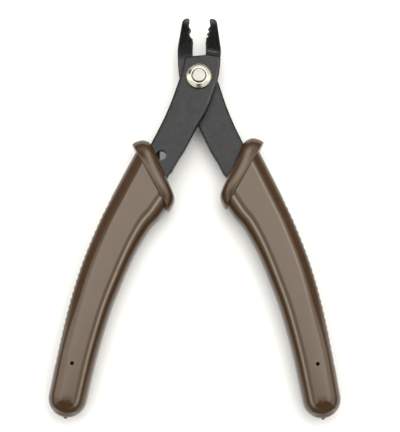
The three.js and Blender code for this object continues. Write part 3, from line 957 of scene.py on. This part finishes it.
def brown_plastic(name, dark, light):
    """Semi-gloss moulded plastic, paler where a highlight is painted on it."""
    material, tree, shader = new_material(name)
    shader.inputs["IOR"].default_value = 1.5
    shader.inputs["Specular IOR Level"].default_value = 0.6
    shader.inputs["Specular Tint"].default_value = SHINE_TINT
    brown = ramp(tree, noise(tree, 160), [(0.25, dark), (0.75, light)])
    # Paler brown, painted as a highlight where the mark says.
    pale = ramp(tree, noise(tree, 300), [(0.3, HIGHLIGHT_BROWNS[0]), (0.7, HIGHLIGHT_BROWNS[1])])
    tree.links.new(mixed(tree, mark(tree, "painted_highlight"), brown, pale), shader.inputs["Base Color"])
    tree.links.new(ramp(tree, noise(tree, 500), [(0.3, 0.19), (0.7, 0.25)]), shader.inputs["Roughness"])
    bump(tree, shader, noise(tree, 1600, 3.0), 0.1, 0.00002)
    return material


def pale_floor():
    material, tree, shader = new_material("pale_floor")
    shader.inputs["Roughness"].default_value = 0.9
    shader.inputs["Specular IOR Level"].default_value = 0.1
    pale = ramp(tree, noise(tree, 12), [(0.3, (0.875, 0.875, 0.86)), (0.7, (0.895, 0.895, 0.88))])
    tree.links.new(pale, shader.inputs["Base Color"])
    return material


# ---- stage, light and camera ----------------------------------------------------------------

FLOOR_SIZE = 6
# The floor lies a hair below the tool.
FLOOR_Z = -0.0002
WARM = (1.0, 0.965, 0.89)
TOOL_MIDDLE = (0.0, 0.02, 0.0)
# Softboxes: name, place, the point they face, width, height and watts.
SOFTBOXES = (
    ("overhead", (0.07, 0.375, 0.62), (0.07, 0.375, 0.0), 0.42, 0.85, 2.6),
    ("left_box", (-0.44, 0.1, 0.6), TOOL_MIDDLE, 0.3, 0.8, 1.0),
    ("right_box", (0.44, 0.1, 0.6), TOOL_MIDDLE, 0.36, 0.8, 0.7),
)
# Sky brightness by height above the horizon, like a white tent that stands clear of the floor.
SKY = [(0.05, 0.04), (0.26, 0.1), (0.5, 1.3), (1.0, 1.4)]
# The tent's dark openings, which the shiny parts mirror: direction, and the cosines of the angles
# from it where the opening starts and where it is darkest.
OPENINGS = [
    ((0, -0.47, 0.883), 0.97, 0.99),
    ((0, -0.8, 0.6), 0.94, 0.985),
    ((-0.575, 0.488, 0.657), 0.965, 0.99),
]
# How much of the sky's brightness is left in an opening.
OPENING_SHARE = 0.06

CAMERA_DISTANCE = 0.414
CAMERA_TILT = math.radians(9)
CAMERA_ROLL = math.radians(0.65)
LOOK_AT = PIVOT + Vector((0.00083, -0.0432, 0))
# The lens's length in widths of the sensor.
LENS_SHARE = 3.12963
CLIP_NEAR = 0.01
CLIP_FAR = 10


def build_floor(material):
    bpy.ops.mesh.primitive_plane_add(size=FLOOR_SIZE, location=(0, 0, FLOOR_Z))
    floor = bpy.context.object
    floor.name = "floor"
    floor.data.materials.append(material)


def softbox(name, place, aim, width, height, watts):
    data = bpy.data.lights.new(name, "AREA")
    data.shape = "RECTANGLE"
    data.size = width
    data.size_y = height
    data.energy = watts
    data.color = WARM
    light = bpy.data.objects.new(name, data)
    bpy.context.collection.objects.link(light)
    light.location = place
    light.rotation_mode = "QUATERNION"
    light.rotation_quaternion = (Vector(aim) - Vector(place)).to_track_quat("-Z", "Y")


def build_sky():
    """The sky, darkened in its openings."""
    world = bpy.data.worlds.new("surroundings")
    world.use_nodes = True
    tree = world.node_tree
    place = tree.nodes.new("ShaderNodeTexCoord").outputs["Generated"]

    def facing(direction):
        node = tree.nodes.new("ShaderNodeVectorMath")
        node.operation = "DOT_PRODUCT"
        node.inputs[1].default_value = direction
        tree.links.new(place, node.inputs[0])
        return node.outputs["Value"]

    sky = ramp(tree, facing((0, 0, 1)), SKY)
    for direction, edge, core in OPENINGS:
        opening = ramp(tree, facing(direction), [(edge, 1.0), (core, OPENING_SHARE)])
        both = tree.nodes.new("ShaderNodeMix")
        both.data_type = "RGBA"
        both.blend_type = "MULTIPLY"
        both.inputs["Factor"].default_value = 1.0
        tree.links.new(sky, both.inputs["A"])
        tree.links.new(opening, both.inputs["B"])
        sky = both.outputs["Result"]
    tree.links.new(sky, tree.nodes["Background"].inputs["Color"])
    bpy.context.scene.world = world


def build_light():
    for box in SOFTBOXES:
        softbox(*box)
    build_sky()


def build_camera():
    data = bpy.data.cameras.new("camera")
    data.sensor_fit = "AUTO"
    data.lens = data.sensor_width * LENS_SHARE
    data.clip_start = CLIP_NEAR
    data.clip_end = CLIP_FAR
    camera = bpy.data.objects.new("camera", data)
    bpy.context.collection.objects.link(camera)
    turn = Matrix.Rotation(CAMERA_ROLL, 4, "Z") @ Matrix.Rotation(CAMERA_TILT, 4, "X")
    camera.matrix_world = Matrix.Translation(LOOK_AT) @ turn @ Matrix.Translation((0, 0, CAMERA_DISTANCE))
    bpy.context.scene.camera = camera
    bpy.context.scene.view_settings.view_transform = "Standard"


build_levers(blackened_steel())
build_pivot(nickel("plated_washer", WASHER_TINT), nickel("plated_pin", PIN_TINT))
build_grips(brown_plastic("brown_grip", *GRIP_BROWNS), brown_plastic("gate_plastic", *GATE_BROWNS))
build_floor(pale_floor())
build_light()
build_camera()
